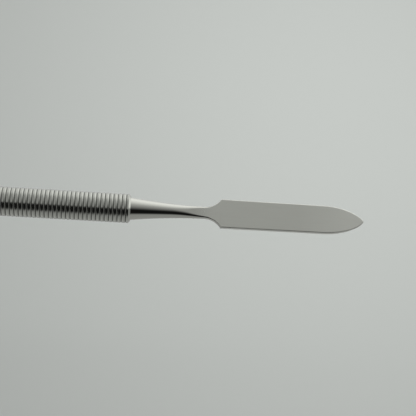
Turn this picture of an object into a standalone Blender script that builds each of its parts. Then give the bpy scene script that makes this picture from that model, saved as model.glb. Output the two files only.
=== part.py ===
"""Double-ended cuticle pusher: a ribbed hollow grip with a flat lancet blade in its front end and a
cupped spoon pusher in its rear end. Each working end is one forging whose tang sits in the grip's
bore, fixed there by a ring of silver solder.

Lengths are in metres. +X runs along the tool to the lancet's point and +Z is up from the surface that
the tool lies on. The origin is on that surface, under the middle of the tool's length.
"""

import math

import bmesh
import bpy
from mathutils import Vector

# Driving dimensions: the grip.
OVERALL_LENGTH = 0.150
GRIP_LENGTH = 0.057
GRIP_RADIUS = 0.00345
WALL = 0.00072
END_CHAMFER = 0.00045
RING_PITCH = 0.001
GROOVE_WIDTH = 0.0004
GROOVE_DEPTH = 0.00016

# The tangs, with the room that solder fills round them.
SOLDER_ROOM = 0.00004
TANG_LENGTH = 0.008
TANG_LEAD_IN = 0.0005
SOLDER_WIRE_RADIUS = 0.0003
SOLDER_SEAT_WIDTH = 0.0008
SOLDER_SEAT_AT = 0.0022

# The lancet end, measured out from the grip's front face.
LANCET_REACH = 0.0561
LANCET_TAPERS_TO = 0.0214
LANCET_WAIST_RADIUS = 0.00135
TAPER_POWER = 2.1
SHOULDER_AT = 0.0216
SHOULDER_HALF_WIDTH = 0.00352
SHOULDER_FILLET = 0.0047
BLADE_HALF_WIDTH = 0.00342
BLADE_THICKNESS = 0.0013
BLADE_FLATTENS_FROM = 0.0095
BLADE_FLATTENS_TO = 0.020
BLADE_CRISP_FROM = 0.0125
BLADE_CRISP_TO = 0.0214
POINT_LENGTH = 0.0098
POINT_BULGE = 2.05
POINT_BLUNTNESS = 0.75
POINT_HALF_WIDTH = 0.00018
POINT_THICKNESS = 0.0008
POINT_THINS_OVER = 0.006
BLADE_EDGE_RADIUS = 0.00024

# The spoon end, measured out from the grip's rear face.
SPOON_TAPERS_TO = 0.020
SPOON_WAIST_RADIUS = 0.0014
SPOON_FLATTENS_FROM = 0.012
SPOON_FLATTENS_TO = 0.022
SPOON_ROOT_THICKNESS = 0.0011
SPOON_RIM_THICKNESS = 0.0007
SPOON_WIDENS_FROM = 0.0165
SPOON_WIDENS_TO = 0.0275
SPOON_HALF_WIDTH = 0.0035
SPOON_NOSE_LENGTH = 0.0058
SPOON_NOSE_HALF_WIDTH = 0.0005
SPOON_CUP_RADIUS = 0.0085
SPOON_CUPS_FROM = 0.019
SPOON_CUPS_TO = 0.029
SPOON_BENDS_FROM = 0.012
SPOON_DROP = 0.003

# Facets: every round section has this many sides, with a flat one underneath.
SIDES = 24
CORNER_POINTS = SIDES // 4
FLAT_TO_CORNER = 1 / math.cos(math.pi / SIDES)

# Worked out from the driving dimensions.
BORE_RADIUS = GRIP_RADIUS - WALL
TANG_RADIUS = BORE_RADIUS - SOLDER_ROOM
SPOON_REACH = OVERALL_LENGTH - GRIP_LENGTH - LANCET_REACH
FRONT_FACE_X = OVERALL_LENGTH / 2 - LANCET_REACH
REAR_FACE_X = FRONT_FACE_X - GRIP_LENGTH
POINT_STARTS_AT = LANCET_REACH - POINT_LENGTH
SOLDER_RING_RADIUS = TANG_RADIUS - SOLDER_WIRE_RADIUS
SOLDER_SEAT_RADIUS = SOLDER_RING_RADIUS - SOLDER_WIRE_RADIUS - SOLDER_ROOM


def clear_scene():
    for obj in list(bpy.data.objects):
        bpy.data.objects.remove(obj, do_unlink=True)


def new_collection(name):
    collection = bpy.data.collections.new(name)
    bpy.context.scene.collection.children.link(collection)
    return collection


def new_material(name, colour, roughness, metallic=1.0):
    material = bpy.data.materials.new(name)
    material.use_nodes = True
    shader = material.node_tree.nodes["Principled BSDF"]
    shader.inputs["Base Color"].default_value = (*colour, 1.0)
    shader.inputs["Roughness"].default_value = roughness
    shader.inputs["Metallic"].default_value = metallic
    return material


def new_object(name, mesh, material, collection, parent):
    """Links a mesh as a named object on the tool's axis, shaded smooth between its sharp edges."""
    mesh.materials.append(material)
    mesh.shade_smooth()
    mesh.set_sharp_from_angle(angle=math.radians(30))
    obj = bpy.data.objects.new(name, mesh)
    collection.objects.link(obj)
    obj.parent = parent
    return obj


def smooth_step(start, end, value):
    """0 before start, 1 after end, with an even S-curve between them."""
    share = min(max((value - start) / (end - start), 0.0), 1.0)
    return share * share * (3 - 2 * share)


def blend(first, second, share):
    return first + (second - first) * share


def spread(start, end, count):
    """This many even steps from start up to, but not at, end."""
    return [blend(start, end, step / count) for step in range(count)]


# The grip tube.


def grip_profile():
    """Half of the tube's section as (radius, height) points, down the outside and up the bore."""
    bottom = [
        (GRIP_RADIUS, END_CHAMFER),
        (GRIP_RADIUS - END_CHAMFER, 0.0),
        (BORE_RADIUS, 0.0),
        (BORE_RADIUS, GRIP_LENGTH),
    ]
    top = [(GRIP_RADIUS - END_CHAMFER, GRIP_LENGTH), (GRIP_RADIUS, GRIP_LENGTH - END_CHAMFER)]
    grooves = []
    for ring in range(round(GRIP_LENGTH / RING_PITCH) - 1, 0, -1):
        centre = ring * RING_PITCH
        grooves += [
            (GRIP_RADIUS, centre + GROOVE_WIDTH / 2),
            (GRIP_RADIUS - GROOVE_DEPTH, centre),
            (GRIP_RADIUS, centre - GROOVE_WIDTH / 2),
        ]
    return top + grooves + bottom


def add_screw(obj):
    """Turns the object's closed profile once round its own Z axis."""
    screw = obj.modifiers.new("Turn", "SCREW")
    screw.axis = "Z"
    screw.steps = SIDES
    screw.render_steps = SIDES
    screw.use_merge_vertices = True
    screw.merge_threshold = 1e-6
    screw.use_smooth_shade = True


def lay_along_x(obj, x):
    """Lays a turned piece's Z axis along the tool, with a flat facet underneath."""
    half_facet = math.pi / SIDES
    obj.location = (x, 0, 0)
    obj.rotation_mode = "ZYX"
    obj.rotation_euler = (0, math.pi / 2, half_facet)


def make_grip_tube(material, collection, axis):
    mesh = bpy.data.meshes.new("grip_tube")
    shape = bmesh.new()
    corners = [
        shape.verts.new((radius * FLAT_TO_CORNER, 0, height)) for radius, height in grip_profile()
    ]
    for first, second in zip(corners, corners[1:] + corners[:1]):
        shape.edges.new((first, second))
    shape.to_mesh(mesh)
    shape.free()
    tube = new_object("grip_tube", mesh, material, collection, axis)
    add_screw(tube)
    lay_along_x(tube, REAR_FACE_X)
    return tube


# The working ends: lofts through sections that change from round to flat.


def section(x, half_width, half_thickness, corner, rise=0.0, cup=0.0):
    """A rounded rectangle across the tool at x, and a circle where all three sizes are equal.

    rise lifts the whole section, and cup is the curvature that hangs its edges down.
    """
    points = []
    for quarter, (side_y, side_z) in enumerate(((1, 1), (-1, 1), (-1, -1), (1, -1))):
        for step in range(CORNER_POINTS):
            angle = math.pi / 2 * (quarter + (step + 0.5) / CORNER_POINTS)
            reach = corner * FLAT_TO_CORNER
            y = side_y * (half_width - corner) + reach * math.cos(angle)
            z = side_z * (half_thickness - corner) + reach * math.sin(angle)
            points.append(Vector((x, y, z + rise - cup * y * y / 2)))
    return points


def loft(name, sections):
    """A closed mesh through rings of points, each ring joined to the next and the ends capped."""
    mesh = bpy.data.meshes.new(name)
    shape = bmesh.new()
    rings = [[shape.verts.new(point) for point in points] for points in sections]
    for ring, following in zip(rings, rings[1:]):
        for side in range(SIDES):
            after = (side + 1) % SIDES
            shape.faces.new((ring[side], ring[after], following[after], following[side]))
    shape.faces.new(reversed(rings[0]))
    shape.faces.new(rings[-1])
    bmesh.ops.recalc_face_normals(shape, faces=shape.faces)
    shape.to_mesh(mesh)
    shape.free()
    return mesh


def tang_sections():
    """The tang inside the bore, from its chamfered end to the solder's seat and the grip's face."""
    seat_start = -SOLDER_SEAT_AT - SOLDER_SEAT_WIDTH / 2
    seat_end = -SOLDER_SEAT_AT + SOLDER_SEAT_WIDTH / 2
    turned = [
        (-TANG_LENGTH, TANG_RADIUS - TANG_LEAD_IN),
        (-TANG_LENGTH + TANG_LEAD_IN, TANG_RADIUS),
        (seat_start, TANG_RADIUS),
        (seat_start, SOLDER_SEAT_RADIUS),
        (seat_end, SOLDER_SEAT_RADIUS),
        (seat_end, TANG_RADIUS),
    ]
    return [section(x, radius, radius, radius) for x, radius in turned]


def neck_radius(x, tapers_to, waist_radius):
    """A hollow taper from the tang down to the waist."""
    left = max(1 - x / tapers_to, 0.0)
    return waist_radius + (TANG_RADIUS - waist_radius) * left**TAPER_POWER


def lancet_half_width(x):
    """The blade's outline: neck, round fillet to the square shoulder, sides and point."""
    fillet_from = SHOULDER_AT - math.sqrt(
        SHOULDER_FILLET**2
        - (SHOULDER_FILLET - SHOULDER_HALF_WIDTH + LANCET_WAIST_RADIUS) ** 2
    )
    if x < SHOULDER_AT:
        out = max(x - fillet_from, 0.0)
        fillet = SHOULDER_FILLET - math.sqrt(SHOULDER_FILLET**2 - out * out)
        return neck_radius(x, LANCET_TAPERS_TO, LANCET_WAIST_RADIUS) + fillet
    if x < POINT_STARTS_AT:
        share = (x - SHOULDER_AT) / (POINT_STARTS_AT - SHOULDER_AT)
        return blend(SHOULDER_HALF_WIDTH, BLADE_HALF_WIDTH, share)
    left = max(1 - ((x - POINT_STARTS_AT) / POINT_LENGTH) ** POINT_BULGE, 0.0)
    return blend(POINT_HALF_WIDTH, BLADE_HALF_WIDTH, left**POINT_BLUNTNESS)


def lancet_section(x):
    width = lancet_half_width(x)
    neck = neck_radius(x, LANCET_TAPERS_TO, LANCET_WAIST_RADIUS)
    flatness = smooth_step(BLADE_FLATTENS_FROM, BLADE_FLATTENS_TO, x)
    thickness = blend(neck, BLADE_THICKNESS / 2, flatness)
    thinned = smooth_step(LANCET_REACH - POINT_THINS_OVER, LANCET_REACH, x)
    thickness = blend(thickness, POINT_THICKNESS / 2, thinned)
    sharpened = smooth_step(BLADE_CRISP_FROM, BLADE_CRISP_TO, x)
    corner = min(blend(thickness, BLADE_EDGE_RADIUS, sharpened), width)
    return section(x, width, thickness, corner)


def make_lancet_end(material, collection, axis):
    stations = spread(0.0, BLADE_FLATTENS_FROM, 8)
    stations += spread(BLADE_FLATTENS_FROM, BLADE_FLATTENS_TO, 14)
    # Stations crowd towards the shoulder, where the outline turns steep.
    for step in range(5):
        turn = math.sin(math.pi / 2 * step / 5)
        stations.append(blend(BLADE_FLATTENS_TO, SHOULDER_AT, turn))
    stations += spread(SHOULDER_AT, POINT_STARTS_AT, 3)
    for step in range(13):
        turn = math.sin(math.pi / 2 * step / 12)
        stations.append(blend(POINT_STARTS_AT, LANCET_REACH, turn))
    mesh = loft("lancet_end", tang_sections() + [lancet_section(x) for x in stations])
    lancet = new_object("lancet_end", mesh, material, collection, axis)
    lancet.location = (FRONT_FACE_X, 0, 0)
    return lancet


def spoon_half_width(x):
    neck = neck_radius(x, SPOON_TAPERS_TO, SPOON_WAIST_RADIUS)
    widened = smooth_step(SPOON_WIDENS_FROM, SPOON_WIDENS_TO, x)
    width = blend(neck, SPOON_HALF_WIDTH, widened)
    into_nose = max(x - (SPOON_REACH - SPOON_NOSE_LENGTH), 0.0) / SPOON_NOSE_LENGTH
    round_nose = math.sqrt(max(1 - into_nose * into_nose, 0.0))
    return blend(SPOON_NOSE_HALF_WIDTH, width, round_nose)


def spoon_section(x):
    width = spoon_half_width(x)
    neck = neck_radius(x, SPOON_TAPERS_TO, SPOON_WAIST_RADIUS)
    flatness = smooth_step(SPOON_FLATTENS_FROM, SPOON_FLATTENS_TO, x)
    thinned = smooth_step(SPOON_FLATTENS_TO, SPOON_REACH, x)
    leaf = blend(SPOON_ROOT_THICKNESS, SPOON_RIM_THICKNESS, thinned) / 2
    thickness = blend(neck, leaf, flatness)
    cup = smooth_step(SPOON_CUPS_FROM, SPOON_CUPS_TO, x) / SPOON_CUP_RADIUS
    bent = max(x - SPOON_BENDS_FROM, 0.0) / (SPOON_REACH - SPOON_BENDS_FROM)
    corner = min(thickness, width)
    return section(x, width, thickness, corner, rise=-SPOON_DROP * bent * bent, cup=cup)


def make_spoon_end(material, collection, axis):
    nose_from = SPOON_REACH - SPOON_NOSE_LENGTH
    stations = spread(0.0, SPOON_FLATTENS_FROM, 8)
    stations += spread(SPOON_FLATTENS_FROM, SPOON_WIDENS_TO, 16)
    stations += spread(SPOON_WIDENS_TO, nose_from, 3)
    for step in range(11):
        turn = math.sin(math.pi / 2 * step / 10)
        stations.append(blend(nose_from, SPOON_REACH, turn))
    mesh = loft("spoon_end", tang_sections() + [spoon_section(x) for x in stations])
    spoon = new_object("spoon_end", mesh, material, collection, axis)
    spoon.location = (REAR_FACE_X, 0, 0)
    spoon.rotation_euler = (0, 0, math.pi)
    return spoon


# The solder rings, each in its seat round a tang.


def make_solder_ring(name, x, material, collection, axis):
    bpy.ops.mesh.primitive_torus_add(
        major_segments=SIDES,
        minor_segments=8,
        major_radius=SOLDER_RING_RADIUS * FLAT_TO_CORNER,
        minor_radius=SOLDER_WIRE_RADIUS,
    )
    ring = bpy.context.active_object
    mesh = ring.data
    bpy.data.objects.remove(ring, do_unlink=True)
    mesh.name = name
    ring = new_object(name, mesh, material, collection, axis)
    lay_along_x(ring, x)
    return ring


def build():
    clear_scene()
    parts = new_collection("cuticle_pusher")
    axis = bpy.data.objects.new("tool_axis", None)
    axis.location = (0, 0, GRIP_RADIUS)
    parts.objects.link(axis)

    ribbed_steel = new_material("ribbed_steel", (0.56, 0.56, 0.54), 0.28)
    polished_steel = new_material("polished_steel", (0.60, 0.60, 0.58), 0.10)
    silver_solder = new_material("silver_solder", (0.72, 0.69, 0.60), 0.35)

    make_grip_tube(ribbed_steel, parts, axis)
    make_lancet_end(polished_steel, parts, axis)
    make_spoon_end(polished_steel, parts, axis)
    front_ring_x = FRONT_FACE_X - SOLDER_SEAT_AT
    rear_ring_x = REAR_FACE_X + SOLDER_SEAT_AT
    make_solder_ring("front_solder_ring", front_ring_x, silver_solder, parts, axis)
    make_solder_ring("rear_solder_ring", rear_ring_x, silver_solder, parts, axis)


build()
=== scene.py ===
"""Looks of a double-ended cuticle pusher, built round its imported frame.

The grip is a turned stainless steel tube with ring grooves. The lancet end and the spoon end are
forgings whose polished necks run into satin working faces. Lengths are in metres, +X runs along the
tool to the lancet's point and +Z is up.
"""

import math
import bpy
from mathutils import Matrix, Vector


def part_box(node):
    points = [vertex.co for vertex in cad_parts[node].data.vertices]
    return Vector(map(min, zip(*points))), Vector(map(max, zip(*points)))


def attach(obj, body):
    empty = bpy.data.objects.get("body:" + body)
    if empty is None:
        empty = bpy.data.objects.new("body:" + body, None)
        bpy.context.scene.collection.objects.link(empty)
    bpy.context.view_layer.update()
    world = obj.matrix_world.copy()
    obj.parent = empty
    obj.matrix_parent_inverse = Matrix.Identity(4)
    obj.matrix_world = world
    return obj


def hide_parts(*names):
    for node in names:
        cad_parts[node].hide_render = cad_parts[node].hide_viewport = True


bl_info = {
    "name": "Cuticle pusher",
    "version": (1, 0, 0),
    "blender": (4, 5, 0),
    "location": "3D View > Sidebar > Pusher",
    "description": "Models the grip, the two working ends and a soft studio for them",
    "category": "Object",
}

from collections import namedtuple

import bmesh
import bpy
from bpy.props import FloatProperty, FloatVectorProperty, PointerProperty
from mathutils import Matrix, Vector

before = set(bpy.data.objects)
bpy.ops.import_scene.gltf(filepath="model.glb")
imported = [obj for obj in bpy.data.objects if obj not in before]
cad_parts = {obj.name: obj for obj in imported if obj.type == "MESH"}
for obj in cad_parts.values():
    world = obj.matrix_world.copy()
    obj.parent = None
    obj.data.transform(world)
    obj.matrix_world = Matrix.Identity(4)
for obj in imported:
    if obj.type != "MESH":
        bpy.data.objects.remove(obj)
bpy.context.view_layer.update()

MM = 0.001
BODY = "root"

# The mesh: points nearer than TOUCH count as the same place, and moves under NO_MOVE are skipped.
TOUCH = 0.002 * MM
NO_MOVE = 1e-9
RING_POINTS = 96
GROOVE_STEPS = 8
SHARP_ANGLE = math.radians(32)

# The tang in the bore: its lead-in, and the seat with the room and walls round the solder ring.
TANG_LEAD_IN = 0.5 * MM
SEAT_ROOM_ALONG, SEAT_ROOM_UNDER = 0.1 * MM, 0.04 * MM
SEAT_WALL = 0.02 * MM

# Outlines: how hollow a neck's taper is, how the point's sides curve and how they meet.
TAPER_POWER = 2.1
POINT_BULGE, POINT_BLUNTNESS = 2.05, 0.75

# Polish reaches this much further along an edge, which starts between these slopes off the flat.
EDGE_LAG = 6.5 * MM
EDGE_TURN = math.cos(math.radians(14)), math.cos(math.radians(5))

# Where most of a noise texture's values lie, and how rough each finish is.
NOISE_LOW, NOISE_HIGH = 0.3, 0.7
GROOVE_ROUGHNESS = 0.45
TURNED_ROUGHNESS = 0.13, 0.2
MIRROR_ROUGHNESS = 0.05, 0.08
BELT_ROUGHNESS = 0.4, 0.46
SOLDER_ROUGHNESS = 0.25, 0.5

# Where things are, from the frame.
grip_low, grip_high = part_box("grip_tube")
lancet_low, lancet_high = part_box("lancet_end")
spoon_low, spoon_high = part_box("spoon_end")
AXIS_Z = (grip_low.z + grip_high.z) / 2
GRIP_RADIUS = (grip_high.z - grip_low.z) / 2
FRONT_X, REAR_X = grip_high.x, grip_low.x
TANG_LENGTH = FRONT_X - lancet_low.x
TANG_RADIUS = (lancet_high.z - lancet_low.z) / 2
LANCET_REACH = lancet_high.x - FRONT_X
SPOON_REACH = REAR_X - spoon_low.x
SPOON_HALF_WIDTH = spoon_high.y

Section = namedtuple("Section", "x half_width half_thickness corner rise")


def colour(hex_value):
    """A hex sRGB colour as linear red, green and blue."""
    made = []
    for place in (0, 2, 4):
        value = int(hex_value[place : place + 2], 16) / 255
        made.append(value / 12.92 if value <= 0.04045 else ((value + 0.055) / 1.055) ** 2.4)
    return tuple(made)


def length(name, description, default):
    """A setting in metres."""
    return FloatProperty(
        name=name, description=description, default=default, min=0.0, unit="LENGTH", precision=5
    )


def tint(name, description, hex_value):
    """A setting that holds a colour."""
    return FloatVectorProperty(
        name=name, description=description, default=colour(hex_value), subtype="COLOR", size=3,
        min=0.0, max=1.0,
    )


class GripSettings(bpy.types.PropertyGroup):
    """Sizes and colours of the ribbed grip."""

    pitch: length("Ring pitch", "From one ring groove to the next", 1.0 * MM)
    groove_width: length("Groove width", "Width of a ring groove at its mouth", 0.4 * MM)
    groove_depth: length("Groove depth", "Depth of a ring groove", 0.16 * MM)
    wall: length("Wall", "Thickness of the tube between grooves", 0.72 * MM)
    chamfer: length("End chamfer", "Size of the chamfer at each end", 0.45 * MM)
    steel: tint("Steel", "Colour of the turned lands", "b0b2ab")
    # Painted shade: the grooves are drawn in this darker grey for the shade that falls in them.
    painted_groove_shade: tint("Groove grey", "Colour of the darker steel in the grooves", "7c7e79")


class LancetSettings(bpy.types.PropertyGroup):
    """Sizes of the lancet end, measured out from the grip, and its colours."""

    taper_to: length("Taper to", "Where the neck's taper would run level", 21.4 * MM)
    waist_radius: length("Waist radius", "Radius that the neck tapers to", 1.35 * MM)
    shoulder_at: length("Shoulder", "Where the blade's square shoulders stand", 21.6 * MM)
    shoulder_half_width: length("Shoulder half width", "Half the blade's width there", 3.52 * MM)
    fillet: length("Shoulder fillet", "Radius of the hollow behind each shoulder", 4.7 * MM)
    half_width: length("Half width", "Half the blade's width where its point begins", 3.42 * MM)
    thickness: length("Blade thickness", "Thickness of the flat blade", 1.3 * MM)
    flattens_from: length("Flattens from", "Where the neck starts to flatten", 9.5 * MM)
    flattens_to: length("Flattens to", "Where the neck is as thin as the blade", 20 * MM)
    crisp_from: length("Crisp from", "Where the neck starts to have edges", 12.5 * MM)
    crisp_to: length("Crisp to", "Where the edges are as crisp as the blade's", 21.4 * MM)
    point_length: length("Point length", "How long the rounded lancet point is", 9.8 * MM)
    thins_over: length("Thins over", "Length over which the tip grows thinner", 6 * MM)
    tip_half_width: length("Tip half width", "Half the width of the tip's end", 0.18 * MM)
    tip_half_thickness: length("Tip half thickness", "Half the tip's thickness", 0.4 * MM)
    edge: length("Edge rounding", "Radius of the blade's edges", 0.24 * MM)
    satin_before: length("Satin before", "How far behind the shoulder the satin is full", 1 * MM)
    satin_blend: length("Satin blend", "Length over which polish turns to satin", 6.5 * MM)
    mirror: tint("Mirror steel", "Colour of the polished neck", "babbb4")
    satin: tint("Satin steel", "Darker colour of the satin blade", "c9cbc3")
    pale_satin: tint("Pale satin steel", "Lighter colour of the satin blade", "d6d8d0")


class SpoonSettings(bpy.types.PropertyGroup):
    """Sizes of the spoon end, measured out from the grip, and its colours."""

    taper_to: length("Taper to", "Where the neck's taper would run level", 20 * MM)
    waist_radius: length("Waist radius", "Radius that the neck tapers to", 1.4 * MM)
    flattens_from: length("Flattens from", "Where the neck starts to flatten", 12.0 * MM)
    flattens_to: length("Flattens to", "Where the neck has become the spoon", 22.0 * MM)
    root_thickness: length("Root thickness", "Thickness where the spoon begins", 1.1 * MM)
    rim_thickness: length("Rim thickness", "Thickness at the spoon's nose", 0.7 * MM)
    widens_from: length("Widens from", "Where the neck starts to widen", 16.5 * MM)
    widens_to: length("Widens to", "Where the spoon has its full width", 27.5 * MM)
    nose: length("Nose length", "Length of the rounded nose", 5.8 * MM)
    nose_half_width: length("Nose half width", "Half the width of the nose's end", 0.5 * MM)
    cups_from: length("Cups from", "Where the spoon starts to be hollow", 19 * MM)
    cups_to: length("Cups to", "Where the spoon is fully hollow", 29 * MM)
    cup_radius: length("Cup radius", "Radius of the hollow across the spoon", 8.5 * MM)
    drop: length("Drop", "How far the nose bends down from the axis", 3.0 * MM)
    satin_blend: length("Satin blend", "Length over which polish turns to satin", 6 * MM)
    mirror: tint("Mirror steel", "Colour of the polished neck", "babbb4")
    satin: tint("Satin steel", "Darker colour of the satin spoon", "c9cbc3")
    pale_satin: tint("Pale satin steel", "Lighter colour of the satin spoon", "d6d8d0")


class SolderSettings(bpy.types.PropertyGroup):
    """Colours of the silver solder."""

    bright: tint("Bright solder", "Colour of the clean alloy", "d9d3c0")
    fluxed: tint("Fluxed solder", "Colour of the patches dulled by flux", "b3a88f")


class StageSettings(bpy.types.PropertyGroup):
    """The camera, the floor and the light."""

    elevation: FloatProperty(
        name="Elevation", description="Height of the camera above the blade's plane",
        default=math.radians(73), subtype="ANGLE",
    )
    turn: FloatProperty(
        name="Turn", description="How far the point is turned away from the camera",
        default=math.radians(4), subtype="ANGLE",
    )
    tilt: FloatProperty(
        name="Tilt", description="How far the tool slopes down to the right of the view",
        default=math.radians(3.35), subtype="ANGLE",
    )
    distance: length("Distance", "From the camera to the tool", 233 * MM)
    aim_at: length("Aim", "Middle of the view, measured out from the grip", 18.5 * MM)
    aim_above: length("Aim above", "How far the view's middle lies above the axis", 1.24 * MM)
    lens: FloatProperty(
        name="Lens", description="Focal length on a 36 mm sensor", default=84.4, unit="CAMERA"
    )
    lamp_along: length("Lamp along", "Place of the panel lamp, measured out from the grip", 90 * MM)
    lamp_beyond: length("Lamp beyond", "How far beyond the tool the lamp hangs", 105 * MM)
    lamp_height: length("Lamp height", "Height of the lamp above the tool", 115 * MM)
    lamp_width: length("Lamp width", "Side of the square lamp", 200 * MM)
    lamp_power: FloatProperty(
        name="Lamp power", description="Power of the panel lamp", default=0.463, unit="POWER"
    )
    floor_drop: length("Floor drop", "How far the floor lies below the tool", 150 * MM)
    floor_width: length("Floor width", "Side of the square floor", 12.0)
    floor_grey: tint("Floor", "Colour of the pale floor", "caceca")
    backdrop: tint("Backdrop", "What stands behind the floor in a low view", "8b8e89")


# Shaping tools.


def smooth_step(start, end, value):
    """0 before start, 1 after end, with an even S-curve between them."""
    share = min(max((value - start) / (end - start), 0.0), 1.0)
    return share * share * (3 - 2 * share)


def blend(first, second, share):
    """first at 0, second at 1 and a straight line between them."""
    return first + (second - first) * share


def spread(start, end, count):
    """This many even steps from start up to, but not at, end."""
    return [blend(start, end, step / count) for step in range(count)]


def crowd(start, end, count):
    """Steps from start up to, but not at, end, closer together towards the end."""
    return [blend(start, end, math.sin(math.pi / 2 * step / count)) for step in range(count)]


def deselect():
    """Leaves edit mode and selects nothing."""
    if bpy.context.mode != "OBJECT":
        bpy.ops.object.mode_set(mode="OBJECT")
    bpy.ops.object.select_all(action="DESELECT")


def select_points(wanted):
    """Selects the edited mesh's points for which wanted(place) is true, and what they enclose."""
    mesh = bpy.context.object.data
    shape = bmesh.from_edit_mesh(mesh)
    for part in (*shape.faces, *shape.edges):
        part.select = False
    for point in shape.verts:
        point.select = wanted(point.co)
    shape.select_flush(True)
    bmesh.update_edit_mesh(mesh)


def finish_piece(name):
    """Closes and smooths the edited mesh, names it and lets it ride on the tool's one body."""
    bpy.ops.mesh.select_all(action="SELECT")
    bpy.ops.mesh.remove_doubles(threshold=TOUCH / 4)
    bpy.ops.mesh.normals_make_consistent(inside=False)
    bpy.ops.object.mode_set(mode="OBJECT")
    piece = bpy.context.object
    piece.name = name
    piece.data.name = name
    bpy.ops.object.shade_smooth_by_angle(angle=SHARP_ANGLE)
    weighted = piece.modifiers.new("Flat faces stay flat", "WEIGHTED_NORMAL")
    weighted.keep_sharp = True
    bpy.ops.object.modifier_apply(modifier=weighted.name)
    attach(piece, BODY)
    return piece


# The ribbed grip: a profile drawn point by point, spun round the axis.


def groove_points(centre, settings):
    """One ring groove as (distance along the grip, depth), a smooth wave with softened lips."""
    points = []
    for step in range(GROOVE_STEPS + 1):
        share = 2 * step / GROOVE_STEPS - 1
        depth = settings.groove_depth * (1 + math.cos(math.pi * share)) / 2
        points.append((centre + share * settings.groove_width / 2, depth))
    return points


def grip_profile(settings):
    """The tube's section as (x, radius) points, along the outside and back through the bore."""
    long = FRONT_X - REAR_X
    bore = GRIP_RADIUS - settings.wall
    rim = GRIP_RADIUS - settings.chamfer
    points = [(0.0, bore), (0.0, rim), (settings.chamfer, GRIP_RADIUS)]
    for ring in range(1, round(long / settings.pitch)):
        for along, depth in groove_points(ring * settings.pitch, settings):
            points.append((along, GRIP_RADIUS - depth))
    points += [(long - settings.chamfer, GRIP_RADIUS), (long, rim), (long, bore)]
    return [(REAR_X + along, radius) for along, radius in points]


class PUSHER_OT_add_grip(bpy.types.Operator):
    """Model the ribbed tube that the fingers hold"""

    bl_idname = "pusher.add_grip"
    bl_label = "Add ribbed grip"

    def execute(self, context):
        settings = context.scene.pusher_grip
        profile = grip_profile(settings)
        first_x, first_radius = profile[0]
        deselect()
        bpy.ops.mesh.primitive_plane_add(size=MM)
        bpy.ops.object.mode_set(mode="EDIT")
        context.tool_settings.mesh_select_mode = (True, False, False)
        bpy.ops.mesh.select_all(action="SELECT")
        bpy.ops.mesh.merge(type="CENTER")
        bpy.ops.transform.translate(value=(first_x, 0, AXIS_Z + first_radius))
        for (x, radius), (next_x, next_radius) in zip(profile, profile[1:]):
            step = (next_x - x, 0, next_radius - radius)
            bpy.ops.mesh.extrude_region_move(TRANSFORM_OT_translate={"value": step})
        # The bore's line closes the section.
        bore_z = AXIS_Z + first_radius
        select_points(
            lambda place: abs(place.z - bore_z) < TOUCH
            and min(place.x - REAR_X, FRONT_X - place.x) < TOUCH
        )
        bpy.ops.mesh.edge_face_add()
        bpy.ops.mesh.select_all(action="SELECT")
        bpy.ops.mesh.spin(
            steps=RING_POINTS, angle=2 * math.pi, center=(0, 0, AXIS_Z), axis=(1, 0, 0)
        )
        grip = finish_piece("ribbed_grip")
        grip.data.materials.append(turned_stainless(settings))
        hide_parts("grip_tube")
        return {"FINISHED"}


# The working ends: a disc drawn out along the axis, its halves pushed apart into flats.


def neck_radius(x, settings):
    """A hollow taper from the tang down to the waist."""
    left = max(1 - x / settings.taper_to, 0.0) ** TAPER_POWER
    return settings.waist_radius + (TANG_RADIUS - settings.waist_radius) * left


def round_section(x, radius):
    """A circle across the tool at x."""
    return Section(x, radius, radius, radius, 0.0)


def tang_sections():
    """The tang in the bore: its chamfered end, and the seat that holds the solder ring."""
    ring_low, ring_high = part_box("front_solder_ring")
    seat_from = ring_low.x - FRONT_X - SEAT_ROOM_ALONG
    seat_to = ring_high.x - FRONT_X + SEAT_ROOM_ALONG
    wire = ring_high.x - ring_low.x
    seat_radius = (ring_high.z - ring_low.z) / 2 - wire - SEAT_ROOM_UNDER
    return [
        round_section(-TANG_LENGTH, TANG_RADIUS - TANG_LEAD_IN),
        round_section(-TANG_LENGTH + TANG_LEAD_IN, TANG_RADIUS),
        round_section(seat_from - SEAT_WALL, TANG_RADIUS),
        round_section(seat_from, seat_radius),
        round_section(seat_to, seat_radius),
        round_section(seat_to + SEAT_WALL, TANG_RADIUS),
    ]


def slide_half(x, side, move):
    """Moves the half of the ring at x that lies on one side of the tool."""
    if move.length < NO_MOVE:
        return
    select_points(lambda place: abs(place.x - x) < TOUCH and side(place))
    bpy.ops.transform.translate(value=move)


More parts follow.
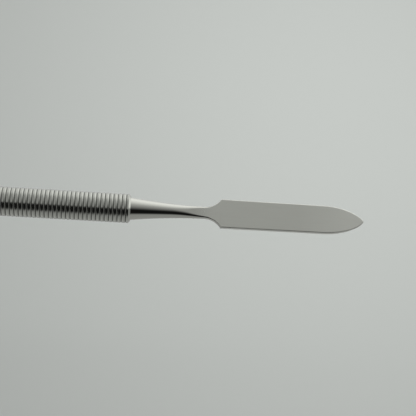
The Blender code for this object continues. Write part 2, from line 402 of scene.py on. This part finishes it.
def draw_out(sections, start_x, way):
    """Starts a disc at the first section and draws it out through the others.

    way is 1 for an end that points along +X and -1 for one that points along -X.
    """
    first = sections[0]
    deselect()
    bpy.ops.mesh.primitive_circle_add(
        vertices=RING_POINTS, radius=first.corner, fill_type="NGON",
        location=(start_x + way * first.x, 0, AXIS_Z),
        rotation=(0, math.pi / 2, 0),
    )
    bpy.ops.object.transform_apply(location=True, rotation=True, scale=True)
    bpy.ops.object.mode_set(mode="EDIT")
    bpy.context.tool_settings.mesh_select_mode = (True, False, False)
    bpy.ops.mesh.select_all(action="SELECT")
    half_step = math.pi / RING_POINTS
    bpy.ops.transform.rotate(
        value=half_step, orient_axis="X", center_override=(start_x + way * first.x, 0, AXIS_Z)
    )
    for last, section in zip(sections, sections[1:]):
        x, z = start_x + way * section.x, AXIS_Z + section.rise
        select_points(lambda place: abs(place.x - start_x - way * last.x) < TOUCH)
        step = (way * (section.x - last.x), 0, section.rise - last.rise)
        bpy.ops.mesh.extrude_region_move(TRANSFORM_OT_translate={"value": step})
        scale = section.corner / last.corner
        bpy.ops.transform.resize(value=(1, scale, scale), center_override=(x, 0, z))
        wider = section.half_width - last.half_width * scale
        thicker = section.half_thickness - last.half_thickness * scale
        slide_half(x, lambda place: place.y > 0, Vector((0, wider, 0)))
        slide_half(x, lambda place: place.y < 0, Vector((0, -wider, 0)))
        slide_half(x, lambda place: place.z > z, Vector((0, 0, thicker)))
        slide_half(x, lambda place: place.z < z, Vector((0, 0, -thicker)))


def lancet_half_width(x, settings):
    """The outline: neck, hollow behind the square shoulder, straight sides and point."""
    fillet, shoulder_at = settings.fillet, settings.shoulder_at
    drop = fillet - settings.shoulder_half_width + settings.waist_radius
    if x < shoulder_at:
        out = max(x - shoulder_at + math.sqrt(fillet**2 - drop**2), 0.0)
        return neck_radius(x, settings) + fillet - math.sqrt(fillet**2 - out**2)
    point_at = LANCET_REACH - settings.point_length
    share = min((x - shoulder_at) / (point_at - shoulder_at), 1.0)
    side = blend(settings.shoulder_half_width, settings.half_width, share)
    into_point = max(x - point_at, 0.0) / settings.point_length
    left = max(1 - into_point**POINT_BULGE, 0.0) ** POINT_BLUNTNESS
    return blend(settings.tip_half_width, side, left)


def lancet_section(x, settings):
    """The lancet end's section at x: round in the neck, and flat with crisp edges in the blade."""
    width = lancet_half_width(x, settings)
    flat = smooth_step(settings.flattens_from, settings.flattens_to, x)
    thickness = blend(neck_radius(x, settings), settings.thickness / 2, flat)
    thinned = smooth_step(LANCET_REACH - settings.thins_over, LANCET_REACH, x)
    thickness = blend(thickness, settings.tip_half_thickness, thinned)
    crisp = smooth_step(settings.crisp_from, settings.crisp_to, x)
    corner = min(blend(thickness, settings.edge, crisp), width)
    return Section(x, width, thickness, corner, 0.0)


def mark_edges(piece):
    """Notes on each point whether the surface there is flat, 0, or has turned into an edge, 1."""
    turned = piece.data.attributes.new("edge", "FLOAT", "POINT")
    for point in piece.data.vertices:
        turned.data[point.index].value = 1 - smooth_step(*EDGE_TURN, abs(point.normal.z))


class PUSHER_OT_add_lancet(bpy.types.Operator):
    """Model the front forging: polished neck, square shoulders and flat lancet blade"""

    bl_idname = "pusher.add_lancet"
    bl_label = "Add lancet end"

    def execute(self, context):
        settings = context.scene.pusher_lancet
        point_at = LANCET_REACH - settings.point_length
        # Sections crowd towards the shoulder and the tip, where the outline turns fastest.
        stations = spread(0.0, settings.flattens_from, 20)
        stations += spread(settings.flattens_from, settings.flattens_to, 20)
        stations += crowd(settings.flattens_to, settings.shoulder_at, 18)
        stations += spread(settings.shoulder_at, point_at, 6)
        stations += crowd(point_at, LANCET_REACH, 20) + [LANCET_REACH]
        sections = tang_sections() + [lancet_section(x, settings) for x in stations]
        draw_out(sections, FRONT_X, 1)
        lancet = finish_piece("lancet_forging")
        mark_edges(lancet)
        satin_from = FRONT_X + settings.shoulder_at - settings.satin_before
        polished_to = satin_from - settings.satin_blend
        lancet.data.materials.append(
            polished_stainless(
                "lancet_polished_to_satin", polished_to, satin_from, lancet_high.x, settings
            )
        )
        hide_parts("lancet_end")
        return {"FINISHED"}


def spoon_section(x, settings):
    """The spoon end's section at x: round in the neck, then a thin leaf that bends down."""
    neck = neck_radius(x, settings)
    widened = smooth_step(settings.widens_from, settings.widens_to, x)
    width = blend(neck, SPOON_HALF_WIDTH, widened)
    into_nose = max(x - SPOON_REACH + settings.nose, 0.0) / settings.nose
    width = blend(settings.nose_half_width, width, math.sqrt(max(1 - into_nose**2, 0.0)))
    flat = smooth_step(settings.flattens_from, settings.flattens_to, x)
    thinned = smooth_step(settings.flattens_to, SPOON_REACH, x)
    leaf = blend(settings.root_thickness, settings.rim_thickness, thinned) / 2
    thickness = blend(neck, leaf, flat)
    bent = max(x - settings.flattens_from, 0.0) / (SPOON_REACH - settings.flattens_from)
    return Section(x, width, thickness, min(thickness, width), -settings.drop * bent**2)


def hang_edges(mesh, settings):
    """Cups the spoon: its edges hang down from the middle line, more and more towards the nose."""
    for point in mesh.vertices:
        cupped = smooth_step(settings.cups_from, settings.cups_to, REAR_X - point.co.x)
        point.co.z -= cupped / settings.cup_radius * point.co.y**2 / 2


class PUSHER_OT_add_spoon(bpy.types.Operator):
    """Model the rear forging: polished neck and cupped, rounded spoon pusher"""

    bl_idname = "pusher.add_spoon"
    bl_label = "Add spoon end"

    def execute(self, context):
        settings = context.scene.pusher_spoon
        nose_from = SPOON_REACH - settings.nose
        # Sections crowd towards the nose, where the outline turns fastest.
        stations = spread(0.0, settings.flattens_from, 18)
        stations += spread(settings.flattens_from, settings.widens_to, 36)
        stations += spread(settings.widens_to, nose_from, 8)
        stations += crowd(nose_from, SPOON_REACH, 20) + [SPOON_REACH]
        sections = tang_sections() + [spoon_section(x, settings) for x in stations]
        draw_out(sections, REAR_X, -1)
        bpy.ops.object.mode_set(mode="OBJECT")
        hang_edges(context.object.data, settings)
        bpy.ops.object.mode_set(mode="EDIT")
        spoon = finish_piece("spoon_forging")
        polished_to = REAR_X - settings.widens_from
        satin_from = polished_to - settings.satin_blend
        spoon.data.materials.append(
            polished_stainless(
                "spoon_polished_to_satin", polished_to, satin_from, spoon_low.x, settings
            )
        )
        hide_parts("spoon_end")
        return {"FINISHED"}


# Materials.


def add_node(tree, kind, settings=(), inputs=(), links=(), stops=()):
    """Adds a node with its settings, input values, links from other sockets and ramp stops."""
    made = tree.nodes.new(kind)
    for name, value in dict(settings).items():
        setattr(made, name, value)
    for key, value in dict(inputs).items():
        made.inputs[key].default_value = value
    for key, source in dict(links).items():
        tree.links.new(source, made.inputs[key])
    if stops:
        ramp = made.color_ramp
        while len(ramp.elements) < len(stops):
            ramp.elements.new(0.5)
        for element, (place, value) in zip(ramp.elements, stops):
            element.position = place
            element.color = (value, value, value, 1)
    return made


def new_material(name):
    """A metal to start from: the material, its nodes, its shader and the place on the piece."""
    material = bpy.data.materials.new(name)
    material.use_nodes = True
    tree = material.node_tree
    tree.nodes.clear()
    shader = add_node(tree, "ShaderNodeBsdfPrincipled", inputs={"Metallic": 1.0})
    add_node(tree, "ShaderNodeOutputMaterial", links={"Surface": shader.outputs[0]})
    place = add_node(tree, "ShaderNodeTexCoord").outputs["Object"]
    return material, tree, shader, place


def noise_to(roughness):
    """Input values that stretch a noise texture's values over a range of roughness."""
    low, high = roughness
    return {"From Min": NOISE_LOW, "From Max": NOISE_HIGH, "To Min": low, "To Max": high}


def turned_stainless(settings):
    """Stainless steel tube, turned and lightly polished: bright lands with fine turning lines
    round them, and grooves left duller by the form tool and drawn in a darker grey as painted
    shade."""
    material, tree, shader, place = new_material("turned_stainless")
    centred = add_node(
        tree, "ShaderNodeVectorMath", {"operation": "SUBTRACT"},
        {1: ((FRONT_X + REAR_X) / 2, 0, AXIS_Z)}, {0: place},
    )
    across = add_node(
        tree, "ShaderNodeVectorMath", {"operation": "MULTIPLY"},
        {1: (0, 1, 1)}, {0: centred.outputs[0]},
    )
    radius = add_node(
        tree, "ShaderNodeVectorMath", {"operation": "LENGTH"}, links={0: across.outputs[0]}
    )
    # 0 in the deep part of a groove and 1 on the lands: the mask of the painted groove shade.
    land = add_node(
        tree, "ShaderNodeMapRange",
        inputs={
            "From Min": GRIP_RADIUS - 0.6 * settings.groove_depth,
            "From Max": GRIP_RADIUS - 0.03 * MM,
        },
        links={"Value": radius.outputs["Value"]},
    )
    # The end chamfers are as bright as the lands, with no painted shade.
    along = add_node(tree, "ShaderNodeSeparateXYZ", links={"Vector": centred.outputs[0]})
    from_middle = add_node(
        tree, "ShaderNodeMath", {"operation": "ABSOLUTE"}, links={0: along.outputs["X"]}
    )
    chamfer = add_node(
        tree, "ShaderNodeMath", {"operation": "GREATER_THAN"},
        {1: (FRONT_X - REAR_X) / 2 - settings.chamfer - 0.05 * MM},
        {0: from_middle.outputs["Value"]},
    )
    bright = add_node(
        tree, "ShaderNodeMath", {"operation": "MAXIMUM"},
        links={0: land.outputs["Result"], 1: chamfer.outputs["Value"]},
    ).outputs["Value"]
    # Painted shade: the grooves take the darker grey for the shade in them, and the lands keep the
    # steel's colour.
    steel = add_node(
        tree, "ShaderNodeMix", {"data_type": "RGBA"},
        {"A": (*settings.painted_groove_shade, 1), "B": (*settings.steel, 1)}, {"Factor": bright},
    )
    # Turning lines 0.04 mm apart, drawn as noise squeezed along the grip.
    squeezed = add_node(
        tree, "ShaderNodeMapping", inputs={"Scale": (25.0, 0.6, 0.6)}, links={"Vector": place}
    )
    lines = add_node(
        tree, "ShaderNodeTexNoise", inputs={"Scale": 1 / MM, "Detail": 2.0},
        links={"Vector": squeezed.outputs[0]},
    )
    dull = add_node(
        tree, "ShaderNodeMapRange", inputs=noise_to(TURNED_ROUGHNESS),
        links={"Value": lines.outputs["Fac"]},
    )
    roughness = add_node(
        tree, "ShaderNodeMix", {"data_type": "FLOAT"},
        {"A": GROOVE_ROUGHNESS}, {"Factor": bright, "B": dull.outputs["Result"]},
    )
    bump = add_node(
        tree, "ShaderNodeBump", inputs={"Strength": 0.06, "Distance": 0.01 * MM},
        links={"Height": lines.outputs["Fac"]},
    )
    tree.links.new(steel.outputs["Result"], shader.inputs["Base Color"])
    tree.links.new(roughness.outputs["Result"], shader.inputs["Roughness"])
    tree.links.new(bump.outputs["Normal"], shader.inputs["Normal"])
    return material


def polished_stainless(name, polished_to, satin_from, end, settings):
    """Forged stainless steel: a neck buffed to a mirror, and a working face finished on a fine
    belt, whose grain along the tool scatters the light into an even satin."""
    material, tree, shader, place = new_material(name)
    split = add_node(tree, "ShaderNodeSeparateXYZ", links={"Vector": place})
    # The belt reaches the flats first, so edges that are marked stay bright a little further.
    edge = add_node(tree, "ShaderNodeAttribute", {"attribute_name": "edge"})
    along = add_node(
        tree, "ShaderNodeMath", {"operation": "MULTIPLY_ADD"}, {1: -EDGE_LAG},
        {0: edge.outputs["Fac"], 2: split.outputs["X"]},
    )
    satin = add_node(
        tree, "ShaderNodeMapRange", {"interpolation_type": "SMOOTHSTEP"},
        {"From Min": polished_to, "From Max": satin_from}, {"Value": along.outputs["Value"]},
    )
    # Belt grain is 0.05 mm apart. It is drawn 0.4 mm apart and 8 mm long, so that it shows.
    drawn = add_node(
        tree, "ShaderNodeMapping", inputs={"Scale": (0.12, 2.5, 2.5)}, links={"Vector": place}
    )
    grain = add_node(
        tree, "ShaderNodeTexNoise", inputs={"Scale": 1 / MM, "Detail": 3.0},
        links={"Vector": drawn.outputs[0]},
    )
    # Slow cloudiness of the buffing, a few millimetres across.
    cloud = add_node(
        tree, "ShaderNodeTexNoise", inputs={"Scale": 0.3 / MM, "Detail": 2.0},
        links={"Vector": place},
    )
    mirror = add_node(
        tree, "ShaderNodeMapRange", inputs=noise_to(MIRROR_ROUGHNESS),
        links={"Value": cloud.outputs["Fac"]},
    )
    belt = add_node(
        tree, "ShaderNodeMapRange", inputs=noise_to(BELT_ROUGHNESS),
        links={"Value": grain.outputs["Fac"]},
    )
    roughness = add_node(
        tree, "ShaderNodeMix", {"data_type": "FLOAT"},
        links={
            "Factor": satin.outputs["Result"],
            "A": mirror.outputs["Result"],
            "B": belt.outputs["Result"],
        },
    )
    # The last part of the working end is drawn a little lighter towards its end, and the belt's
    # grain in streaks.
    lighter_to_end = add_node(
        tree, "ShaderNodeMapRange",
        inputs={
            "From Min": blend(satin_from, end, 0.55), "From Max": blend(satin_from, end, 0.85),
            "To Min": -0.1, "To Max": 0.6,
        },
        links={"Value": split.outputs["X"]},
    )
    light = add_node(
        tree, "ShaderNodeMath", {"operation": "MULTIPLY_ADD"}, {1: 0.6},
        {0: grain.outputs["Fac"], 2: lighter_to_end.outputs["Result"]},
    )
    belted = add_node(
        tree, "ShaderNodeMix", {"data_type": "RGBA"},
        {"A": (*settings.satin, 1), "B": (*settings.pale_satin, 1)},
        {"Factor": light.outputs["Value"]},
    )
    steel = add_node(
        tree, "ShaderNodeMix", {"data_type": "RGBA"}, {"A": (*settings.mirror, 1)},
        {"Factor": satin.outputs["Result"], "B": belted.outputs["Result"]},
    )
    scratch = add_node(
        tree, "ShaderNodeMath", {"operation": "MULTIPLY"},
        links={0: grain.outputs["Fac"], 1: satin.outputs["Result"]},
    )
    bump = add_node(
        tree, "ShaderNodeBump", inputs={"Strength": 0.05, "Distance": 0.01 * MM},
        links={"Height": scratch.outputs["Value"]},
    )
    tree.links.new(steel.outputs["Result"], shader.inputs["Base Color"])
    tree.links.new(roughness.outputs["Result"], shader.inputs["Roughness"])
    tree.links.new(bump.outputs["Normal"], shader.inputs["Normal"])
    return material


def silver_solder(settings):
    """Silver brazing alloy as it froze: pale and slightly yellow, with soft wrinkles and patches
    dulled by flux."""
    material, tree, shader, place = new_material("silver_solder")
    # Patches and wrinkles half a millimetre across.
    patches = add_node(
        tree, "ShaderNodeTexNoise", inputs={"Scale": 2 / MM, "Detail": 4.0},
        links={"Vector": place},
    )
    alloy = add_node(
        tree, "ShaderNodeMix", {"data_type": "RGBA"},
        {"A": (*settings.bright, 1), "B": (*settings.fluxed, 1)},
        {"Factor": patches.outputs["Fac"]},
    )
    dull = add_node(
        tree, "ShaderNodeMapRange", inputs=noise_to(SOLDER_ROUGHNESS),
        links={"Value": patches.outputs["Fac"]},
    )
    bump = add_node(
        tree, "ShaderNodeBump", inputs={"Strength": 0.3, "Distance": 0.02 * MM},
        links={"Height": patches.outputs["Fac"]},
    )
    tree.links.new(alloy.outputs["Result"], shader.inputs["Base Color"])
    tree.links.new(dull.outputs["Result"], shader.inputs["Roughness"])
    tree.links.new(bump.outputs["Normal"], shader.inputs["Normal"])
    return material


class PUSHER_OT_finish_solder(bpy.types.Operator):
    """Give the two solder rings in the joints their metal"""

    bl_idname = "pusher.finish_solder"
    bl_label = "Finish solder rings"

    def execute(self, context):
        solder = silver_solder(context.scene.pusher_solder)
        for name in ("front_solder_ring", "rear_solder_ring"):
            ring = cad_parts[name]
            ring.data.materials.clear()
            ring.data.materials.append(solder)
        return {"FINISHED"}


# The stage.

# Light by direction, as (degrees from the camera's side towards the top of the view, brightness).
# The camera's own side is dark, a bright wall stands beyond the tool, and the rest is grey. Rays
# that lean back from the lancet's point meet the rear light, those that lean towards it meet the
# front light, and those that run nearly along the tool past its point meet the end light.
FRONT_LIGHT = (
    (-180, 0.50), (-127, 0.45), (-73, 0.42), (-66, 0.38), (-60, 0.28), (-53, 0.12), (-47, 0.03),
    (-41, 0.01), (-11, 0.01), (0, 0.08), (12, 0.22), (24, 0.37), (36, 0.50), (48, 0.64),
    (60, 0.86), (74, 1.10), (90, 1.33), (107, 1.49), (130, 1.30), (150, 0.90), (180, 0.50),
)
REAR_LIGHT = (
    (-180, 0.20), (-160, 0.35), (-134, 0.62), (-102, 0.54), (-80, 0.46), (-70, 0.35),
    (-62, 0.16), (-55, 0.04), (-50, 0.01), (-10, 0.01), (-4, 0.20), (1, 0.48), (30, 0.46),
    (58, 0.46), (70, 0.56), (80, 0.82), (90, 0.94), (116, 1.03), (140, 0.95), (160, 0.60),
    (180, 0.20),
)
END_LIGHT = (
    (-180, 0.55), (-125, 0.55), (-110, 0.35), (-85, 0.35), (-60, 0.45), (30, 0.50), (60, 0.70),
    (90, 1.40), (175, 1.40), (180, 1.00),
)
BRIGHTEST = 1.5

# Degrees towards the lancet's point over which one light gives way to the next.
REAR_TO_FRONT = -4.5, 4
FRONT_TO_END = 35, 50


def light_ramp(tree, angle, levels):
    """A ramp of light levels over the whole turn round the tool."""
    share = add_node(
        tree, "ShaderNodeMapRange",
        inputs={"From Min": -math.pi, "From Max": math.pi}, links={"Value": angle},
    )
    stops = [((degrees + 180) / 360, level / BRIGHTEST) for degrees, level in levels]
    return add_node(
        tree, "ShaderNodeValToRGB", links={"Fac": share.outputs["Result"]}, stops=stops
    )


def toward_point(tree, to_point, turn):
    """0 before the first of two angles towards the lancet's point, and 1 after the second."""
    low, high = (math.sin(math.radians(degrees)) for degrees in turn)
    return add_node(
        tree, "ShaderNodeMapRange", inputs={"From Min": low, "From Max": high},
        links={"Value": to_point},
    ).outputs["Result"]


def add_world(settings):
    """The light round the tool, painted by direction."""
    world = bpy.data.worlds.new("soft_studio")
    bpy.context.scene.world = world
    world.use_nodes = True
    tree = world.node_tree
    tree.nodes.clear()
    direction = add_node(tree, "ShaderNodeTexCoord").outputs["Generated"]
    raised, lowered = math.sin(settings.elevation), math.cos(settings.elevation)
    reaches = []
    for axis in ((0, -lowered, raised), (0, raised, lowered), (1, 0, 0)):
        reach = add_node(
            tree, "ShaderNodeVectorMath", {"operation": "DOT_PRODUCT"}, {1: axis}, {0: direction}
        )
        reaches.append(reach.outputs["Value"])
    to_camera, to_top, to_point = reaches
    angle = add_node(
        tree, "ShaderNodeMath", {"operation": "ARCTAN2"}, links={0: to_top, 1: to_camera}
    ).outputs["Value"]
    front, rear, ends = (
        light_ramp(tree, angle, levels) for levels in (FRONT_LIGHT, REAR_LIGHT, END_LIGHT)
    )
    sides = add_node(
        tree, "ShaderNodeMix", {"data_type": "RGBA"},
        links={
            "Factor": toward_point(tree, to_point, REAR_TO_FRONT),
            "A": rear.outputs["Color"],
            "B": front.outputs["Color"],
        },
    )
    light = add_node(
        tree, "ShaderNodeMix", {"data_type": "RGBA"},
        links={
            "Factor": toward_point(tree, to_point, FRONT_TO_END),
            "A": sides.outputs["Result"],
            "B": ends.outputs["Color"],
        },
    )
    # Past the floor's edge the camera sees a plain backdrop, and the steel still sees the lights.
    seen = add_node(tree, "ShaderNodeLightPath").outputs["Is Camera Ray"]
    shown = add_node(
        tree, "ShaderNodeMix", {"data_type": "RGBA"},
        {"B": (*(part / BRIGHTEST for part in settings.backdrop), 1)},
        {"Factor": seen, "A": light.outputs["Result"]},
    )
    background = add_node(
        tree, "ShaderNodeBackground", inputs={"Strength": BRIGHTEST},
        links={"Color": shown.outputs["Result"]},
    )
    add_node(tree, "ShaderNodeOutputWorld", links={"Surface": background.outputs[0]})


def matt_paper(settings):
    """Pale background paper: matt, with a faint mottle from its fibres."""
    material, tree, shader, place = new_material("matt_paper")
    shader.inputs["Metallic"].default_value = 0.0
    shader.inputs["Roughness"].default_value = 0.9
    # The fibres themselves are too fine to show, so their mottle is drawn 5 mm across.
    fibres = add_node(
        tree, "ShaderNodeTexNoise", inputs={"Scale": 0.2 / MM, "Detail": 3.0},
        links={"Vector": place},
    )
    paper = add_node(
        tree, "ShaderNodeMix", {"data_type": "RGBA"},
        {"A": (*(0.99 * part for part in settings.floor_grey), 1), "B": (*settings.floor_grey, 1)},
        {"Factor": fibres.outputs["Fac"]},
    )
    tree.links.new(paper.outputs["Result"], shader.inputs["Base Color"])
    return material


def add_floor(settings):
    """A wide sheet of paper below the tool."""
    deselect()
    bpy.ops.mesh.primitive_plane_add(
        size=settings.floor_width, location=(0, 0, -settings.floor_drop)
    )
    floor = bpy.context.object
    floor.name = "paper_floor"
    bpy.ops.object.transform_apply(location=True, rotation=True, scale=True)
    # Polished steel shows the studio round it, and not the paper that it hangs over.
    floor.visible_glossy = False
    floor.data.materials.append(matt_paper(settings))


def add_lamp(settings):
    """A soft panel over the far right of the floor. It lights the paper only."""
    data = bpy.data.lights.new("soft_panel", "AREA")
    data.shape = "SQUARE"
    data.size = settings.lamp_width
    data.energy = settings.lamp_power
    lamp = bpy.data.objects.new("soft_panel", data)
    bpy.context.scene.collection.objects.link(lamp)
    lamp.location = (FRONT_X + settings.lamp_along, settings.lamp_beyond, settings.lamp_height)
    lamp.visible_camera = False
    lamp.visible_glossy = False


def add_camera(settings):
    """The camera looks down on the tool, which is turned and tilted a little in its view."""
    raised, lowered = math.sin(settings.elevation), math.cos(settings.elevation)
    forward, level_up = Vector((0, lowered, -raised)), Vector((0, raised, lowered))
    turned = Matrix.Rotation(-settings.turn, 3, level_up)
    forward, level_right = turned @ forward, turned @ Vector((1, 0, 0))
    tilted = Matrix.Rotation(settings.tilt, 3, -forward)
    right, up = tilted @ level_right, tilted @ level_up
    aim = Vector((FRONT_X + settings.aim_at, 0, AXIS_Z)) + settings.aim_above * up
    data = bpy.data.cameras.new("camera")
    data.sensor_width = 36
    data.lens = settings.lens
    data.clip_start = 0.01
    data.clip_end = 50
    camera = bpy.data.objects.new("camera", data)
    bpy.context.scene.collection.objects.link(camera)
    facing = Matrix((right, up, -forward)).transposed().to_4x4()
    camera.matrix_world = Matrix.Translation(aim - settings.distance * forward) @ facing
    bpy.context.scene.camera = camera


class PUSHER_OT_add_stage(bpy.types.Operator):
    """Set up the paper floor, the soft light and the camera"""

    bl_idname = "pusher.add_stage"
    bl_label = "Add stage"

    def execute(self, context):
        settings = context.scene.pusher_stage
        context.scene.view_settings.view_transform = "Standard"
        add_world(settings)
        add_floor(settings)
        add_lamp(settings)
        add_camera(settings)
        return {"FINISHED"}


class PUSHER_PT_panel(bpy.types.Panel):
    """The pusher's pieces and its stage, each with its sizes and colours"""

    bl_idname = "PUSHER_PT_panel"
    bl_label = "Cuticle pusher"
    bl_space_type = "VIEW_3D"
    bl_region_type = "UI"
    bl_category = "Pusher"

    def draw(self, context):
        for operator, name, kind in STEPS:
            box = self.layout.box()
            box.operator(operator.bl_idname)
            for value in kind.__annotations__:
                box.prop(getattr(context.scene, name), value)


# Each operator in the order it is called, and the scene property that holds its settings.
STEPS = (
    (PUSHER_OT_add_grip, "pusher_grip", GripSettings),
    (PUSHER_OT_add_lancet, "pusher_lancet", LancetSettings),
    (PUSHER_OT_add_spoon, "pusher_spoon", SpoonSettings),
    (PUSHER_OT_finish_solder, "pusher_solder", SolderSettings),
    (PUSHER_OT_add_stage, "pusher_stage", StageSettings),
)


def register():
    """Registers every operator with its settings, and the panel."""
    for operator, name, kind in STEPS:
        bpy.utils.register_class(operator)
        bpy.utils.register_class(kind)
        setattr(bpy.types.Scene, name, PointerProperty(type=kind))
    bpy.utils.register_class(PUSHER_PT_panel)


def unregister():
    """Takes the panel, the settings and the operators away again."""
    bpy.utils.unregister_class(PUSHER_PT_panel)
    for operator, name, kind in reversed(STEPS):
        delattr(bpy.types.Scene, name)
        bpy.utils.unregister_class(kind)
        bpy.utils.unregister_class(operator)


def main():
    """Registers the operators and runs each one, which builds every piece and the stage."""
    register()
    for operator, _, _ in STEPS:
        group, action = operator.bl_idname.split(".")
        getattr(getattr(bpy.ops, group), action)()


if __name__ == "__main__":
    main()
